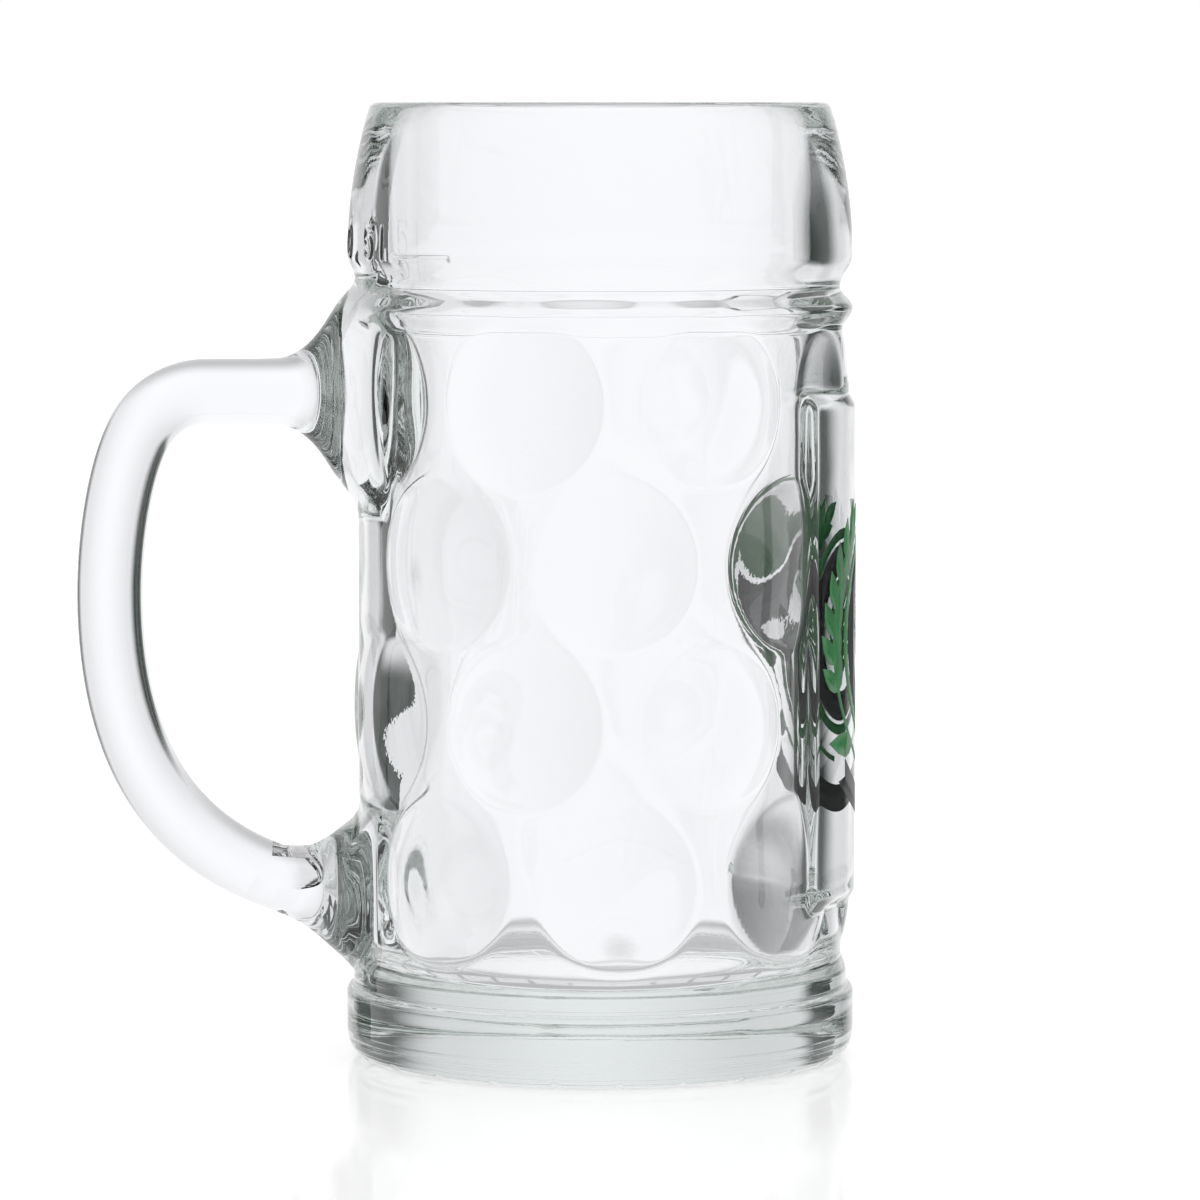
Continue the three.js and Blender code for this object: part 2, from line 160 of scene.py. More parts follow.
# Places taken from the frame: towards +X the body ends at its panel, towards -X at its foot
body_low, body_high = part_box("mug_body")
BODY_RADIUS = ((body_high.x - body_low.x) / MM + FOOT_INSET) / 2
AXIS_X = body_high.x - BODY_RADIUS * MM
HEIGHT = body_high.z / MM

# Fineness of the meshes and of what is worked out step by step
COLUMNS = 336
WALL_ROWS = 145
ROOT_CELLS = 8
RIM_POINTS = 8 * ROOT_CELLS
BAR_STEP = 1.0
CURVE_STEPS = 200
HALVINGS = 30
SETTLING_STEPS = 4
WELD_DISTANCE = 0.001
LEDGE_STEPS = 5
FOOT_SIDE_STEPS = 6
PARTING_STEPS = 2
FOOT_EDGE_STEPS = 8
BEARING_STEPS = 6
PUNT_SLOPE_STEPS = 4
PUNT_STEPS = 8
COLLAR_STEPS = 18
LIP_STEPS = 8
INSIDE_STEPS = 30
FLOOR_ROUND_STEPS = 10
FLOOR_STEPS = 10
ZERO_STEPS = 24
BOWL_STEPS = 12

WALL_BOTTOM = FOOT_HEIGHT
WALL_TOP = COLLAR_BOTTOM + COLLAR_EDGE_ROUND
ROW_STEP = (WALL_TOP - WALL_BOTTOM) / WALL_ROWS
COLUMN_TURN = 2 * math.pi / COLUMNS
COLLAR_RADIUS = BODY_RADIUS - COLLAR_INSET


def smooth_step(start, end, value):
    """Eases from 0 at start to 1 at end."""
    share = min(max((value - start) / (end - start), 0.0), 1.0)
    return share * share * (3 - 2 * share)


def soft_max(first, second, softness):
    """The larger of two values, with a round blend where they are alike."""
    near = max(softness - abs(first - second), 0.0) / softness
    return max(first, second) + near * near * softness / 4


def place(radius, angle, height):
    """A point round the mug's axis, in the frame's metres."""
    return Vector((AXIS_X + radius * math.cos(angle) * MM, radius * math.sin(angle) * MM, height * MM))


def arc(centre, radius, start, end, steps):
    """Points along an arc, both ends included."""
    turns = [start + (end - start) * i / steps for i in range(steps + 1)]
    return [(centre[0] + radius * math.cos(t), centre[1] + radius * math.sin(t)) for t in turns]


def straight(start, end, steps):
    """Points from after start up to end."""
    shares = [(i + 1) / steps for i in range(steps)]
    return [(start[0] + (end[0] - start[0]) * s, start[1] + (end[1] - start[1]) * s) for s in shares]


def wall_profile(height):
    """Radius of the wall between its lenses: neck, wall, shoulder, groove and the start of the collar."""
    neck_top = FOOT_HEIGHT + NECK_HEIGHT
    shoulder_bottom = GROOVE_HEIGHT - SHOULDER_HEIGHT
    radius = BODY_RADIUS - NECK_INSET
    radius -= (WALL_INSET - NECK_INSET) * smooth_step(neck_top - NECK_BLEND, neck_top + NECK_BLEND, height)
    blend_bottom = shoulder_bottom - SHOULDER_BLEND
    radius += (WALL_INSET - SHOULDER_INSET) * smooth_step(blend_bottom, shoulder_bottom, height)
    radius -= (GROOVE_INSET - SHOULDER_INSET) * smooth_step(shoulder_bottom, GROOVE_HEIGHT, height)
    return radius + (GROOVE_INSET - COLLAR_INSET) * smooth_step(GROOVE_HEIGHT, WALL_TOP, height)


def lens_rise(angle, height):
    """How far a lens stands out from the wall. Even rows leave one out behind the handle."""
    pitch = 2 * math.pi / LENS_COLUMNS
    rise = 0.0
    for row in range(LENS_ROWS):
        start = math.pi + (row % 2) * pitch / 2
        column = round((angle - start) / pitch)
        if row % 2 == 0 and column % LENS_COLUMNS == 0:
            continue
        across = (angle - start - column * pitch) * BODY_RADIUS
        up = height - LOWEST_ROW - row * ROW_PITCH
        cap = LENS_HEIGHT * (1 - (math.hypot(across, up) / LENS_RADIUS) ** LENS_POWER)
        rise += soft_max(cap, 0.0, LENS_EDGE)
    return rise


def panel_distance(angle, height):
    """How far a point of the wall lies outside the smooth panel."""
    turn = abs(math.remainder(angle, 2 * math.pi))
    across = (turn - PANEL_HALF_ANGLE) * BODY_RADIUS
    along = max(PANEL_BOTTOM - height, height - PANEL_TOP)
    return math.hypot(max(across, 0.0), max(along, 0.0))


def wall_radius(angle, height):
    """Radius of the wall with its lenses and its panel."""
    radius = wall_profile(height) + lens_rise(angle, height)
    on_panel = smooth_step(PANEL_STEP, 0.0, panel_distance(angle, height))
    return radius + (BODY_RADIUS - radius) * on_panel


def root_reach(root, flare):
    """How far from the wall the handle's root is wider than the bar by flare."""
    return ROOT_LENGTH * (1 - (flare / root["spread"]) ** (1 / ROOT_CURVE))


def root_wide(root, flare):
    """Half width where the root is thicker than the bar by flare: it widens only close to the wall."""
    return HANDLE_WIDTH / 2 + ROOT_SIDE_SHARE * root["spread"] * (flare / root["spread"]) ** ROOT_SIDE_CURVE


def root_sizes(root, flare):
    """Half width, half thickness and middle height of the root's oval where it is wider by flare."""
    reach = root_reach(root, flare)
    slope = root["slope"] + 2 * root["bend"] * reach
    thick = HANDLE_THICKNESS / 2 * math.hypot(1, slope) + flare
    middle = root["height"] + root["slope"] * reach + root["bend"] * reach**2
    return root_wide(root, flare), thick, middle


def root_oval(root, flare, around):
    """Point of across and height on the root's oval where it is wider than the bar by flare."""
    wide, thick, middle = root_sizes(root, flare)
    return wide * math.sin(around), middle + thick * math.cos(around) * root["up"]


def root_height(root, across, height):
    """How far the root stands out from the body over a point beside the bar."""
    low, high = 0.0, 2 * root["spread"]
    for _ in range(HALVINGS):
        flare = (low + high) / 2
        wide, thick, middle = root_sizes(root, flare)
        if (across / wide) ** 2 + ((height - middle) / thick) ** 2 > 1:
            low = flare
        else:
            high = flare
    return root_reach(root, flare)


def root_ring(root, column, row):
    """Ring of the wall's grid round a root, 0 at its rim, and the turn round that ring."""
    across = column - COLUMNS // 2
    up = (row - round((root["height"] - WALL_BOTTOM) / ROW_STEP)) * root["up"]
    ring = max(abs(across), abs(up)) - ROOT_CELLS
    if abs(up) >= abs(across):
        around = math.pi / 4 * across / up if up else 0.0
        around += 0.0 if up > 0 else math.pi
    else:
        around = math.pi / 2 - math.pi / 4 * up / across
        around += 0.0 if across > 0 else math.pi
    return ring, around


def rim_point(root, around):
    """Point where the root's rim joins the bar."""
    across, height = root_oval(root, RIM_FLARE, around)
    reach = BODY_RADIUS + root_reach(root, RIM_FLARE)
    return Vector((AXIS_X - reach * MM, -across * MM, height * MM))


def root_point(root, share, around, turn, height):
    """Point of the wall drawn out to the handle, share of the way from the root's rim to the plain wall."""
    flare = RIM_FLARE + (root["spread"] - RIM_FLARE) * share**2
    oval_across, oval_height = root_oval(root, flare, around)
    loose = smooth_step(ROOT_LOOSE_START, 1.0, share)
    radius = wall_radius(math.pi + turn, height)
    across = oval_across + (radius * math.sin(turn) - oval_across) * loose
    height = oval_height + (height - oval_height) * loose
    for _ in range(SETTLING_STEPS):
        radius = wall_radius(math.pi + math.asin(across / radius), height)
    fillet = ROOT_FILLET * smooth_step(FOOT_HEIGHT - NECK_BLEND, FOOT_HEIGHT + 2 * NECK_HEIGHT, height)
    reach = BODY_RADIUS + root_height(root, across, height) - ROOT_FILLET + fillet
    wall = math.sqrt(radius**2 - across**2)
    out = soft_max(wall, reach, fillet)
    out += (wall - out) * smooth_step(ROOT_FADE_START, 1.0, share)
    return Vector((AXIS_X - out * MM, -across * MM, height * MM))


def wall_point(column, row):
    """Place of one vertex of the wall, drawn out to the handle near its roots."""
    turn = (column - COLUMNS / 2) * COLUMN_TURN
    height = WALL_BOTTOM + row * ROW_STEP
    for root in (UPPER_ROOT, LOWER_ROOT):
        ring, around = root_ring(root, column, row)
        if ring == 0:
            return rim_point(root, around)
        if 0 < ring <= root["rings"]:
            return root_point(root, ring / root["rings"], around, turn, height)
    return place(wall_radius(math.pi + turn, height), math.pi + turn, height)


def wall_mesh():
    """The wall's outside, from the foot to the collar: a sheet with two holes, rolled round the axis."""
    bm = bmesh.new()
    sheet = bmesh.ops.create_grid(bm, x_segments=COLUMNS, y_segments=WALL_ROWS, size=0.5)["verts"]
    cells = {}
    for vertex in sheet:
        cells[vertex] = round((vertex.co.x + 0.5) * COLUMNS), round((vertex.co.y + 0.5) * WALL_ROWS)
    holes = []
    for face in bm.faces:
        corners = [cells[v] for v in face.verts]
        for root in (UPPER_ROOT, LOWER_ROOT):
            if all(root_ring(root, *corner)[0] <= 0 for corner in corners):
                holes.append(face)
    bmesh.ops.delete(bm, geom=holes, context="FACES")
    for vertex, (column, row) in cells.items():
        if vertex.is_valid:
            vertex.co = wall_point(column, row)
    return loose_mesh("wall", bm)


def handle_line():
    """Middle line of the handle from wall to wall, as points of distance from the axis and height."""
    knee = BODY_RADIUS + UPPER_ARM_LENGTH
    grip = BODY_RADIUS + FINGER_GAP + HANDLE_THICKNESS / 2
    grip_height = UPPER_ARM_HEIGHT - GRIP_DROP
    knee_end = Vector((
        knee + KNEE_RADIUS * math.sin(KNEE_TURN),
        UPPER_ARM_HEIGHT - KNEE_RADIUS * (1 - math.cos(KNEE_TURN)),
    ))
    knee_way = Vector((math.cos(KNEE_TURN), -math.sin(KNEE_TURN)))
    points = [(BODY_RADIUS, UPPER_ARM_HEIGHT), (knee, UPPER_ARM_HEIGHT)]
    centre = (knee, UPPER_ARM_HEIGHT - KNEE_RADIUS)
    points += arc(centre, KNEE_RADIUS, math.pi / 2, math.pi / 2 - KNEE_TURN, CURVE_STEPS)[1:]
    curves = [
        (
            knee_end,
            knee_end + KNEE_EASE * knee_way,
            Vector((grip, grip_height + GRIP_EASE_UP)),
            Vector((grip, grip_height)),
        ),
        (
            Vector((grip, grip_height)),
            Vector((grip, grip_height - GRIP_EASE_DOWN)),
            Vector((BODY_RADIUS + LOWER_ARM_EASE, LOWER_ARM_HEIGHT + LOWER_ARM_EASE * LOWER_ARM_SLOPE)),
            Vector((BODY_RADIUS, LOWER_ARM_HEIGHT)),
        ),
    ]
    for curve in curves:
        points += [tuple(p) for p in interpolate_bezier(*curve, CURVE_STEPS)[1:]]
    return [Vector(p) for p in points]


def even_stations(points, step):
    """Points and directions along a line of points, about one step apart."""
    lengths = [0.0]
    for before, after in zip(points, points[1:]):
        lengths.append(lengths[-1] + (after - before).length)
    count = round(lengths[-1] / step)
    stations = []
    i = 0
    for k in range(count + 1):
        at = lengths[-1] * k / count
        while i < len(points) - 2 and lengths[i + 1] < at:
            i += 1
        share = (at - lengths[i]) / (lengths[i + 1] - lengths[i])
        stations.append((points[i].lerp(points[i + 1], share), (points[i + 1] - points[i]).normalized()))
    return stations


def handle_mesh():
    """The handle's oval bar, drawn along its line from the upper root's rim to the lower root's."""
    bm = bmesh.new()
    turn_layer = bm.verts.layers.float.new("turn")
    first = bmesh.ops.create_circle(bm, segments=RIM_POINTS, radius=1.0)["verts"]
    for i, vertex in enumerate(first):
        vertex[turn_layer] = 2 * math.pi * i / RIM_POINTS
        vertex.co = rim_point(UPPER_ROOT, vertex[turn_layer])
    loop = bm.edges[:]
    middle = (UPPER_ARM_HEIGHT + LOWER_ARM_HEIGHT) / 2
    for centre, way in even_stations(handle_line(), BAR_STEP):
        reach = centre.x - BODY_RADIUS
        root = UPPER_ROOT if centre.y > middle else LOWER_ROOT
        if reach < root_reach(root, RIM_FLARE) + RIM_MARGIN:
            continue
        flare = root["spread"] * max(1 - reach / ROOT_LENGTH, 0.0) ** ROOT_CURVE
        ring, loop = next_ring(bm, loop)
        for vertex in ring:
            out = (HANDLE_THICKNESS / 2 + flare) * math.cos(vertex[turn_layer])
            side = root_wide(root, flare) * math.sin(vertex[turn_layer])
            distance = centre.x - way.y * out
            height = centre.y + way.x * out
            vertex.co = Vector((AXIS_X - distance * MM, -side * MM, height * MM))
    ring, loop = next_ring(bm, loop)
    for vertex in ring:
        vertex.co = rim_point(LOWER_ROOT, vertex[turn_layer])
    return loose_mesh("bar", bm)


def next_ring(bm, loop):
    """Draws a loop of edges out by one ring: the new vertices and the new loop."""
    grown = bmesh.ops.extrude_edge_only(bm, edges=loop)["geom"]
    ring = {g for g in grown if isinstance(g, bmesh.types.BMVert)}
    return ring, [g for g in grown if isinstance(g, bmesh.types.BMEdge) and ring.issuperset(g.verts)]


def turned(points):
    """A line of radius and height points turned right round the axis."""
    bm = bmesh.new()
    line = [bm.verts.new(place(r, 0.0, z)) for r, z in points]
    edges = [bm.edges.new(pair) for pair in zip(line, line[1:])]
    bmesh.ops.spin(
        bm,
        geom=line + edges,
        cent=(AXIS_X, 0, 0),
        axis=(0, 0, 1),
        angle=2 * math.pi,
        steps=COLUMNS,
        use_merge=True,
    )
    return bm


def turn_of(vertex):
    """Angle of a vertex round the mug's axis."""
    return math.atan2(vertex.co.y, vertex.co.x - AXIS_X)


def foot_profile():
    """From the foot of the wall round the foot and the bearing ring to the middle of the underside."""
    neck = BODY_RADIUS - NECK_INSET
    foot = BODY_RADIUS - FOOT_INSET
    lower = foot - PARTING_STEP
    bearing = lower - FOOT_EDGE_ROUND
    hollow = bearing - BEARING_WIDTH
    ledge = foot - neck
    points = arc((neck, FOOT_HEIGHT - ledge), ledge, math.pi / 2, 0, LEDGE_STEPS)
    points += straight(points[-1], (foot, FOOT_EDGE_ROUND + 2 * PARTING_STEP), FOOT_SIDE_STEPS)
    points += straight(points[-1], (lower, FOOT_EDGE_ROUND + PARTING_STEP), PARTING_STEPS)
    points += arc((bearing, FOOT_EDGE_ROUND), FOOT_EDGE_ROUND, 0, -math.pi / 2, FOOT_EDGE_STEPS)
    points += straight(points[-1], (hollow, 0.0), BEARING_STEPS)
    points += straight(points[-1], (hollow - PUNT_SLOPE_WIDTH, PUNT_DEPTH), PUNT_SLOPE_STEPS)
    points += straight(points[-1], (0.0, PUNT_DEPTH), PUNT_STEPS)
    return points


def foot_mesh():
    """The foot, with fine notches pressed across its bearing ring."""
    bm = turned(foot_profile())
    for vertex in bm.verts:
        notch = round(turn_of(vertex) / COLUMN_TURN) % (COLUMNS // NOTCH_COUNT) == 0
        height = vertex.co.z / MM
        if notch and height < NOTCH_TOP:
            vertex.co.z += NOTCH_DEPTH * MM * smooth_step(NOTCH_TOP, 0.0, height)
    return loose_mesh("foot", bm)


def collar_profile():
    """From the collar's lower edge over the lip and down the inside to the middle of the floor."""
    lip_height = HEIGHT - LIP_ROUND
    rise = lip_height - WALL_TOP
    run = math.sqrt((COLLAR_SIDE_RADIUS - LIP_ROUND) ** 2 - rise**2)
    lip_radius = COLLAR_RADIUS - COLLAR_SIDE_RADIUS + run
    meet = math.atan2(rise, run)
    inside = BODY_RADIUS - FLOOR_WALL
    corner = (inside - FLOOR_ROUND, FLOOR_HEIGHT + FLOOR_ROUND)
    side_middle = (COLLAR_RADIUS - COLLAR_SIDE_RADIUS, WALL_TOP)
    points = arc(side_middle, COLLAR_SIDE_RADIUS, 0, meet, COLLAR_STEPS)
    points += arc((lip_radius, lip_height), LIP_ROUND, meet, math.pi, LIP_STEPS)[1:]
    points += straight(points[-1], (inside, corner[1]), INSIDE_STEPS)
    points += arc(corner, FLOOR_ROUND, 0, -math.pi / 2, FLOOR_ROUND_STEPS)[1:]
    points += straight(points[-1], (0.0, FLOOR_HEIGHT), FLOOR_STEPS)
    return points


def mark_strokes():
    """Lines of the capacity mark, as points along the collar and up from the mark's foot."""
    turns = [2 * math.pi * i / ZERO_STEPS for i in range(ZERO_STEPS + 1)]
    zero = [
        (ZERO_MIDDLE + FIGURE_WIDTH / 2 * math.cos(t), FIGURE_HEIGHT / 2 * (1 + math.sin(t)))
        for t in turns
    ]
    comma = [COMMA_TOP, COMMA_TAIL]
    five = [(FIVE_RIGHT, FIGURE_HEIGHT), (FIVE_LEFT, FIGURE_HEIGHT), FIVE_NECK]
    five += arc((FIVE_MIDDLE, FIVE_BOWL), FIVE_BOWL, FIVE_BOWL_TURN, -FIVE_BOWL_TURN, BOWL_STEPS)
    litre = [(LITRE_PLACE, 0.0), (LITRE_PLACE, FIGURE_HEIGHT)]
    line = [(0.0, 0.0), (MARK_LINE, 0.0)]
    return [zero, comma, five, litre, line]


def stroke_distance(point, line):
    """How far a point lies from a line of points."""
    nearest = math.inf
    for start, end in zip(line, line[1:]):
        along = (end[0] - start[0], end[1] - start[1])
        length = along[0] ** 2 + along[1] ** 2
        share = ((point[0] - start[0]) * along[0] + (point[1] - start[1]) * along[1]) / length
        share = min(max(share, 0.0), 1.0)
        gap = math.hypot(point[0] - start[0] - along[0] * share, point[1] - start[1] - along[1] * share)
        nearest = min(nearest, gap)
    return nearest


def collar_side(height):
    """Radius of the outside in the groove and up the collar."""
    if height < WALL_TOP:
        return wall_profile(height)
    return COLLAR_RADIUS - COLLAR_SIDE_RADIUS + math.sqrt(COLLAR_SIDE_RADIUS**2 - (height - WALL_TOP) ** 2)


def raise_mark(bm):
    """Raises the capacity mark from a finer patch of the collar."""
    strokes = mark_strokes()
    left = min(x for line in strokes for x, _ in line) - MARK_MARGIN
    right = MARK_LINE + MARK_MARGIN
    top = FIGURE_HEIGHT + MARK_MARGIN
    inside = (BODY_RADIUS - FLOOR_WALL / 2) * MM

    def on_patch(vertex):
        """Places along and up from the mark's foot, or nothing off the patch."""
        along = math.remainder(turn_of(vertex) - MARK_ANGLE, 2 * math.pi) * COLLAR_RADIUS
        up = vertex.co.z / MM - MARK_HEIGHT
        outside = math.hypot(vertex.co.x - AXIS_X, vertex.co.y) > inside
        if outside and left < along < right and -MARK_MARGIN < up < top:
            return along, up
        return None

    edges = [e for e in bm.edges if all(on_patch(v) for v in e.verts)]
    bmesh.ops.subdivide_edges(bm, edges=edges, cuts=MARK_CUTS, use_grid_fill=True)
    for vertex in bm.verts:
        spot = on_patch(vertex)
        if spot:
            height = vertex.co.z / MM
            gap = min(stroke_distance(spot, line) for line in strokes)
            half = MARK_STROKE / 2
            rise = MARK_RISE * smooth_step(half + MARK_EDGE, half - MARK_EDGE, gap)
            vertex.co = place(collar_side(height) + rise, turn_of(vertex), height)


def loose_mesh(name, bm):
    """A mesh without an object."""
    mesh = bpy.data.meshes.new(name)
    bm.to_mesh(mesh)
    bm.free()
    return mesh


def finished(name, bm):
    """A smooth object in the scene, at the frame's origin."""
    mesh = loose_mesh(name, bm)
    mesh.shade_smooth()
    piece = bpy.data.objects.new(name, mesh)
    bpy.context.scene.collection.objects.link(piece)
    return piece


def mug_glass():
    """Vessel and handle welded into one skin, as the glass of the two is sealed together."""
    bm = bmesh.new()
    for mesh in (wall_mesh(), handle_mesh(), foot_mesh(), loose_mesh("collar", turned(collar_profile()))):
        bm.from_mesh(mesh)
        bpy.data.meshes.remove(mesh)
    bmesh.ops.remove_doubles(bm, verts=bm.verts[:], dist=WELD_DISTANCE * MM)
    raise_mark(bm)
    bmesh.ops.recalc_face_normals(bm, faces=bm.faces[:])
    return finished("mug_glass", bm)


# Print: the frame's own figures, pressed on to the true round of the panel
ENAMEL_SINK = 0.04
ENAMEL_PROUD = 0.06


def enamel_figure(node):
    """One figure of the print, sunk a little into the glass and standing a little proud of it."""
    bm = bmesh.new()
    bm.from_mesh(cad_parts[node].data)
    bmesh.ops.remove_doubles(bm, verts=bm.verts[:], dist=WELD_DISTANCE * MM)
    reaches = {v: math.hypot(v.co.x - AXIS_X, v.co.y) for v in bm.verts}
    middle = (min(reaches.values()) + max(reaches.values())) / 2
    for vertex, reach in reaches.items():
        radius = BODY_RADIUS + (ENAMEL_PROUD if reach > middle else -ENAMEL_SINK)
        vertex.co.x = AXIS_X + (vertex.co.x - AXIS_X) * radius * MM / reach
        vertex.co.y *= radius * MM / reach
    return finished(node.replace("print", "enamel"), bm)


WHITE = (1.0, 1.0, 1.0, 1.0)


def new_material(name):
    """A material with its nodes and links."""
    material = bpy.data.materials.new(name)
    material.use_nodes = True
    return material, material.node_tree.nodes, material.node_tree.links


def noise_group(name, outputs):
    """Node group of layered noise over the object: each output has a size in millimetres and a detail."""
    group = bpy.data.node_groups.new(name, "ShaderNodeTree")
    nodes, links = group.nodes, group.links
    end = nodes.new("NodeGroupOutput")
    coordinates = nodes.new("ShaderNodeTexCoord")
    for label, (size, detail) in outputs.items():
        group.interface.new_socket(label, in_out="OUTPUT", socket_type="NodeSocketFloat")
        noise = nodes.new("ShaderNodeTexNoise")
        noise.inputs["Scale"].default_value = 1 / (size * MM)
        noise.inputs["Detail"].default_value = detail
        links.new(coordinates.outputs["Object"], noise.inputs["Vector"])
        links.new(noise.outputs["Fac"], end.inputs[label])
    return group


# Pressed glass: chill waves from the mould and a fine grain on its skin
GLASS_WAVE = 9.0
GLASS_WAVE_DETAIL = 0.0
GLASS_GRAIN = 0.7
GLASS_GRAIN_DETAIL = 1.0
WAVE_HEIGHT = 0.05
GRAIN_HEIGHT = 0.0012
GLASS_TINT = (0.75, 0.79, 0.765, 1.0)
GLASS_DEPTH_TINT = 12.0
GLASS_IOR = 1.52


def clear_glass():
    """Clear glass, tinted where it is thick."""
    material, nodes, links = new_material("clear_pressed_glass")
    shader = nodes["Principled BSDF"]
    shader.inputs["Base Color"].default_value = WHITE
    shader.inputs["Roughness"].default_value = 0.0
    shader.inputs["IOR"].default_value = GLASS_IOR
    shader.inputs["Transmission Weight"].default_value = 1.0
    skin = nodes.new("ShaderNodeGroup")
    layers = {"Wave": (GLASS_WAVE, GLASS_WAVE_DETAIL), "Grain": (GLASS_GRAIN, GLASS_GRAIN_DETAIL)}
    skin.node_tree = noise_group("glass_skin", layers)
    normal = None
    for label, height in (("Wave", WAVE_HEIGHT), ("Grain", GRAIN_HEIGHT)):
        bump = nodes.new("ShaderNodeBump")
        bump.inputs["Distance"].default_value = height * MM
        links.new(skin.outputs[label], bump.inputs["Height"])
        if normal:
            links.new(normal, bump.inputs["Normal"])
        normal = bump.outputs["Normal"]
    links.new(normal, shader.inputs["Normal"])
    depth = nodes.new("ShaderNodeVolumeAbsorption")
    depth.inputs["Color"].default_value = GLASS_TINT
    depth.inputs["Density"].default_value = GLASS_DEPTH_TINT
    links.new(depth.outputs["Volume"], nodes["Material Output"].inputs["Volume"])
    return material


# Fired enamel: faint mottling of its colour and its gloss
ENAMEL_MOTTLE = 2.5
ENAMEL_MOTTLE_DETAIL = 2.0
ENAMEL_GRAIN = 0.3
ENAMEL_GRAIN_DETAIL = 1.0
ENAMEL_LIGHTER = 1.35
ENAMEL_ROUGHNESS = (0.25, 0.45)
GREEN = (0.012, 0.147, 0.033)
BLACK = (0.006, 0.0065, 0.0065)


def enamel(name, colour, skin_group):
    """Opaque enamel of one colour, with a skin shared by all colours."""
    material, nodes, links = new_material(name)
    shader = nodes["Principled BSDF"]
    skin = nodes.new("ShaderNodeGroup")
    skin.node_tree = skin_group
    shade = nodes.new("ShaderNodeMix")
    shade.data_type = "RGBA"
    links.new(skin.outputs["Mottle"], shade.inputs["Factor"])
    shade.inputs["A"].default_value = (*colour, 1.0)
    shade.inputs["B"].default_value = (*(c * ENAMEL_LIGHTER for c in colour), 1.0)
    links.new(shade.outputs["Result"], shader.inputs["Base Color"])
    gloss = nodes.new("ShaderNodeMapRange")
    links.new(skin.outputs["Grain"], gloss.inputs["Value"])
    gloss.inputs["To Min"].default_value, gloss.inputs["To Max"].default_value = ENAMEL_ROUGHNESS
    links.new(gloss.outputs["Result"], shader.inputs["Roughness"])
    return material


glass = mug_glass()
glass.data.materials.append(clear_glass())
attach(glass, "root")
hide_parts("mug_body", "handle")

enamel_layers = {
    "Mottle": (ENAMEL_MOTTLE, ENAMEL_MOTTLE_DETAIL),
    "Grain": (ENAMEL_GRAIN, ENAMEL_GRAIN_DETAIL),
}
enamel_skin = noise_group("enamel_skin", enamel_layers)
ENAMELS = {
    "green_enamel": enamel("green_enamel", GREEN, enamel_skin),
    "black_enamel": enamel("black_enamel", BLACK, enamel_skin),
}
FIGURES = {
    "print_ring_green": "green_enamel",
    "print_band_black": "black_enamel",
    "print_hop_green": "green_enamel",
    "print_barley_left": "green_enamel",
    "print_barley_right": "green_enamel",
    "print_ribbon_black": "black_enamel",
}
for node, slot in FIGURES.items():
    figure = enamel_figure(node)
    figure.data.materials.append(ENAMELS[slot])
    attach(figure, "root")
    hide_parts(node)


def seen_in_glass(nodes, links):
    """1 for a ray that comes through or off the object."""
    path = nodes.new("ShaderNodeLightPath")
    through = nodes.new("ShaderNodeMath")
    through.operation = "MAXIMUM"
    links.new(path.outputs["Is Transmission Ray"], through.inputs[0])
    links.new(path.outputs["Is Glossy Ray"], through.inputs[1])
    return through.outputs[0]


def soft_edge(nodes, links, value, start, end):
    """Eases from 0 where the value is start to 1 where it is end."""
    ramp = nodes.new("ShaderNodeMapRange")
    ramp.interpolation_type = "SMOOTHSTEP"
    links.new(value, ramp.inputs["Value"])
    ramp.inputs["From Min"].default_value = start
    ramp.inputs["From Max"].default_value = end
    return ramp.outputs["Result"]


def times(nodes, links, first, second):
    """Product of two values."""
    product = nodes.new("ShaderNodeMath")
    product.operation = "MULTIPLY"
    links.new(first, product.inputs[0])
    links.new(second, product.inputs[1])
    return product.outputs[0]


# Floor: white, faintly glossy, and not seen through the glass, where the studio shows instead
FLOOR_REACH = 30000.0
FLOOR_WHITE = (0.6, 0.6, 0.6, 1.0)
FLOOR_GLOW = 0.42
FLOOR_GLOSS = 0.1
FLOOR_IOR = 1.15
FLOOR_SIDES = 64


def floor_material():
    """White for the eye, and clear for light that comes through or off the glass."""
    material, nodes, links = new_material("white_floor")
    shader = nodes["Principled BSDF"]
    shader.inputs["Base Color"].default_value = FLOOR_WHITE
    shader.inputs["Roughness"].default_value = FLOOR_GLOSS
    shader.inputs["IOR"].default_value = FLOOR_IOR
    shader.inputs["Emission Color"].default_value = WHITE
    shader.inputs["Emission Strength"].default_value = FLOOR_GLOW
    clear = nodes.new("ShaderNodeBsdfTransparent")
    mix = nodes.new("ShaderNodeMixShader")
    links.new(seen_in_glass(nodes, links), mix.inputs[0])
    links.new(shader.outputs[0], mix.inputs[1])
    links.new(clear.outputs[0], mix.inputs[2])
    links.new(mix.outputs[0], nodes["Material Output"].inputs["Surface"])
    return material


def make_floor():
    """A wide disc on which the mug stands."""
    bm = bmesh.new()
    bmesh.ops.create_circle(bm, cap_ends=True, segments=FLOOR_SIDES, radius=FLOOR_REACH * MM)
    floor = finished("floor", bm)
    floor.data.materials.append(floor_material())


make_floor()

# Dark cards behind the mug on both sides, which show in the glass alone and give it its dark edges
CARD_DEPTH = 400.0
CARD_INNER = {-1: 280.0, 1: 320.0}
CARD_OUTER = {-1: 490.0, 1: 1500.0}
CARD_TOP = 270.0
CARD_FOOT = -130.0
CARD_SOFT_SIDE = {-1: 40.0, 1: 100.0}
CARD_SOFT_END = 50.0
CARD_COLOUR = (0.02, 0.032, 0.026, 1.0)


